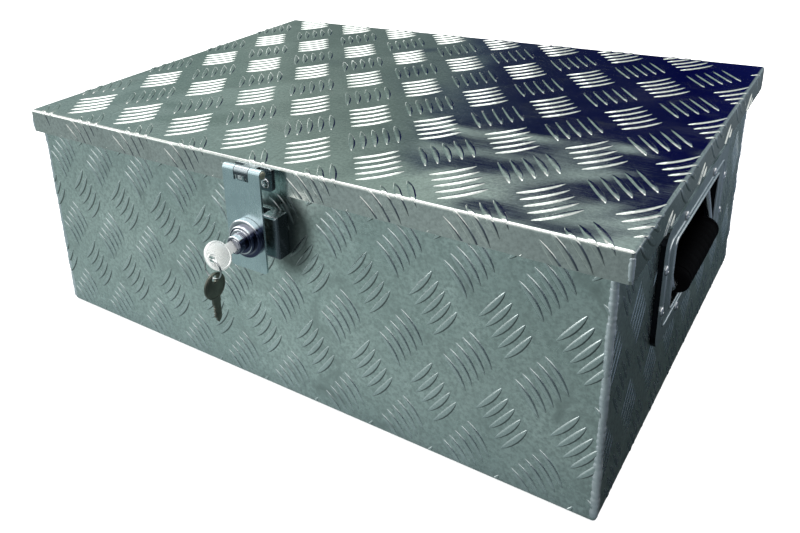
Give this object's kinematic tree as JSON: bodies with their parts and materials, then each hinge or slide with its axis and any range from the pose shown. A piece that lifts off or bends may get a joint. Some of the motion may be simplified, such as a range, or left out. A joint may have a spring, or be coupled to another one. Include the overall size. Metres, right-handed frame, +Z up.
{
  "type": "battery box",
  "caption": "Folded tread-plate aluminium battery box with a hinged overlapping lid, keyed hasp latch and recessed swing handles.",
  "frame": {"origin": "centre of the body's underside, on the surface that the box stands on", "axes": "+Z up, +X to the right end, -Y to the front with the latch"},
  "size_m": [0.608, 0.527, 0.2254],
  "materials": {
    "tread_aluminium": "satin mill-finish five-bar tread plate, grey-green in the light of the studio",
    "lid_tread_aluminium": "brighter five-bar tread plate with polished bar tops",
    "black_rubber": "matt black EPDM rubber",
    "grip_rubber": "satin black moulded rubber",
    "bail_steel": "zinc-plated steel rod",
    "handle_steel": "pressed steel with a satin, blue-grey plating",
    "rivet_aluminium": "bright dome heads",
    "satin_stainless": "satin stainless steel plate",
    "hinge_stainless": "satin stainless steel",
    "lock_chrome": "polished chrome",
    "zinc_steel": "dull zinc plating",
    "key_nickel": "bright nickel plating, lightly scratched",
    "dark_key_nickel": "dark tarnished nickel",
    "ring_wire": "nickel-plated wire"
  },
  "bodies": {
    "case": {"body_pan": "tread_aluminium", "floor_mat": "black_rubber", "handle_dish_left": "handle_steel", "handle_dish_right": "handle_steel", "handle_rivet_left_1": "rivet_aluminium", "handle_rivet_left_2": "rivet_aluminium", "handle_rivet_left_3": "rivet_aluminium", "handle_rivet_left_4": "rivet_aluminium", "handle_rivet_left_5": "rivet_aluminium", "handle_rivet_left_6": "rivet_aluminium", "handle_rivet_left_7": "rivet_aluminium", "handle_rivet_left_8": "rivet_aluminium", "handle_rivet_right_1": "rivet_aluminium", "handle_rivet_right_2": "rivet_aluminium", "handle_rivet_right_3": "rivet_aluminium", "handle_rivet_right_4": "rivet_aluminium", "handle_rivet_right_5": "rivet_aluminium", "handle_rivet_right_6": "rivet_aluminium", "handle_rivet_right_7": "rivet_aluminium", "handle_rivet_right_8": "rivet_aluminium", "hinge_body_leaf_left": "hinge_stainless", "hinge_body_leaf_right": "hinge_stainless", "hinge_body_rivet_left_1": "rivet_aluminium", "hinge_body_rivet_left_2": "rivet_aluminium", "hinge_body_rivet_right_1": "rivet_aluminium", "hinge_body_rivet_right_2": "rivet_aluminium", "hinge_pin_left": "zinc_steel", "hinge_pin_right": "zinc_steel", "latch_staple": "satin_stainless", "rim_seal": "black_rubber", "staple_rivet_1": "rivet_aluminium", "staple_rivet_2": "rivet_aluminium"},
    "lid": {"bracket_rivet_1": "rivet_aluminium", "bracket_rivet_2": "rivet_aluminium", "hinge_lid_leaf_left": "hinge_stainless", "hinge_lid_leaf_right": "hinge_stainless", "hinge_lid_rivet_left_1": "rivet_aluminium", "hinge_lid_rivet_left_2": "rivet_aluminium", "hinge_lid_rivet_right_1": "rivet_aluminium", "hinge_lid_rivet_right_2": "rivet_aluminium", "latch_bracket": "satin_stainless", "latch_pin": "zinc_steel", "lid_pan": "lid_tread_aluminium"},
    "hasp": {"hasp_plate": "satin_stainless", "lock_housing": "lock_chrome", "lock_nut": "zinc_steel"},
    "plug": {"cam_screw": "zinc_steel", "lock_cam": "zinc_steel", "lock_plug": "lock_chrome"},
    "key": {"key": "key_nickel"},
    "key_ring": {"key_ring": "ring_wire"},
    "spare_key": {"spare_key": "dark_key_nickel"},
    "handle_right": {"handle_bail_right": "bail_steel", "handle_grip_right": "grip_rubber"},
    "handle_left": {"handle_bail_left": "bail_steel", "handle_grip_left": "grip_rubber"}
  },
  "joints": [
    {"name": "lid_hinge", "type": "hinge", "parent": "case", "child": "lid", "pos_m": [0, 0.2203, 0.1974], "axis": [-1, 0, 0], "range_deg": [0, 105]},
    {"name": "hasp_hinge", "type": "hinge", "parent": "lid", "child": "hasp", "pos_m": [0, -0.238, 0.2212], "axis": [-1, 0, 0], "range_deg": [0, 120]},
    {"name": "key_turn", "type": "hinge", "parent": "hasp", "child": "plug", "pos_m": [0.003, -0.261, 0.165], "axis": [0, -1, 0], "range_deg": [0, 90]},
    {"name": "key_pull", "type": "slide", "parent": "plug", "child": "key", "axis": [0, -1, 0], "range_m": [0, 0.024]},
    {"name": "ring_swing", "type": "hinge", "parent": "key", "child": "key_ring", "pos_m": [0.003, -0.2872, 0.165], "axis": [1, 0, 0], "range_deg": [-20, 3]},
    {"name": "spare_key_swing", "type": "hinge", "parent": "key_ring", "child": "spare_key", "pos_m": [0.003, -0.2872, 0.148], "axis": [1, 0, 0], "range_deg": [-25, 25]},
    {"name": "handle_swing_right", "type": "hinge", "parent": "case", "child": "handle_right", "pos_m": [0.2852, 0, 0.153], "axis": [0, -1, 0], "range_deg": [0, 90]},
    {"name": "handle_swing_left", "type": "hinge", "parent": "case", "child": "handle_left", "pos_m": [-0.2852, 0, 0.153], "axis": [0, 1, 0], "range_deg": [0, 90]}
  ]
}
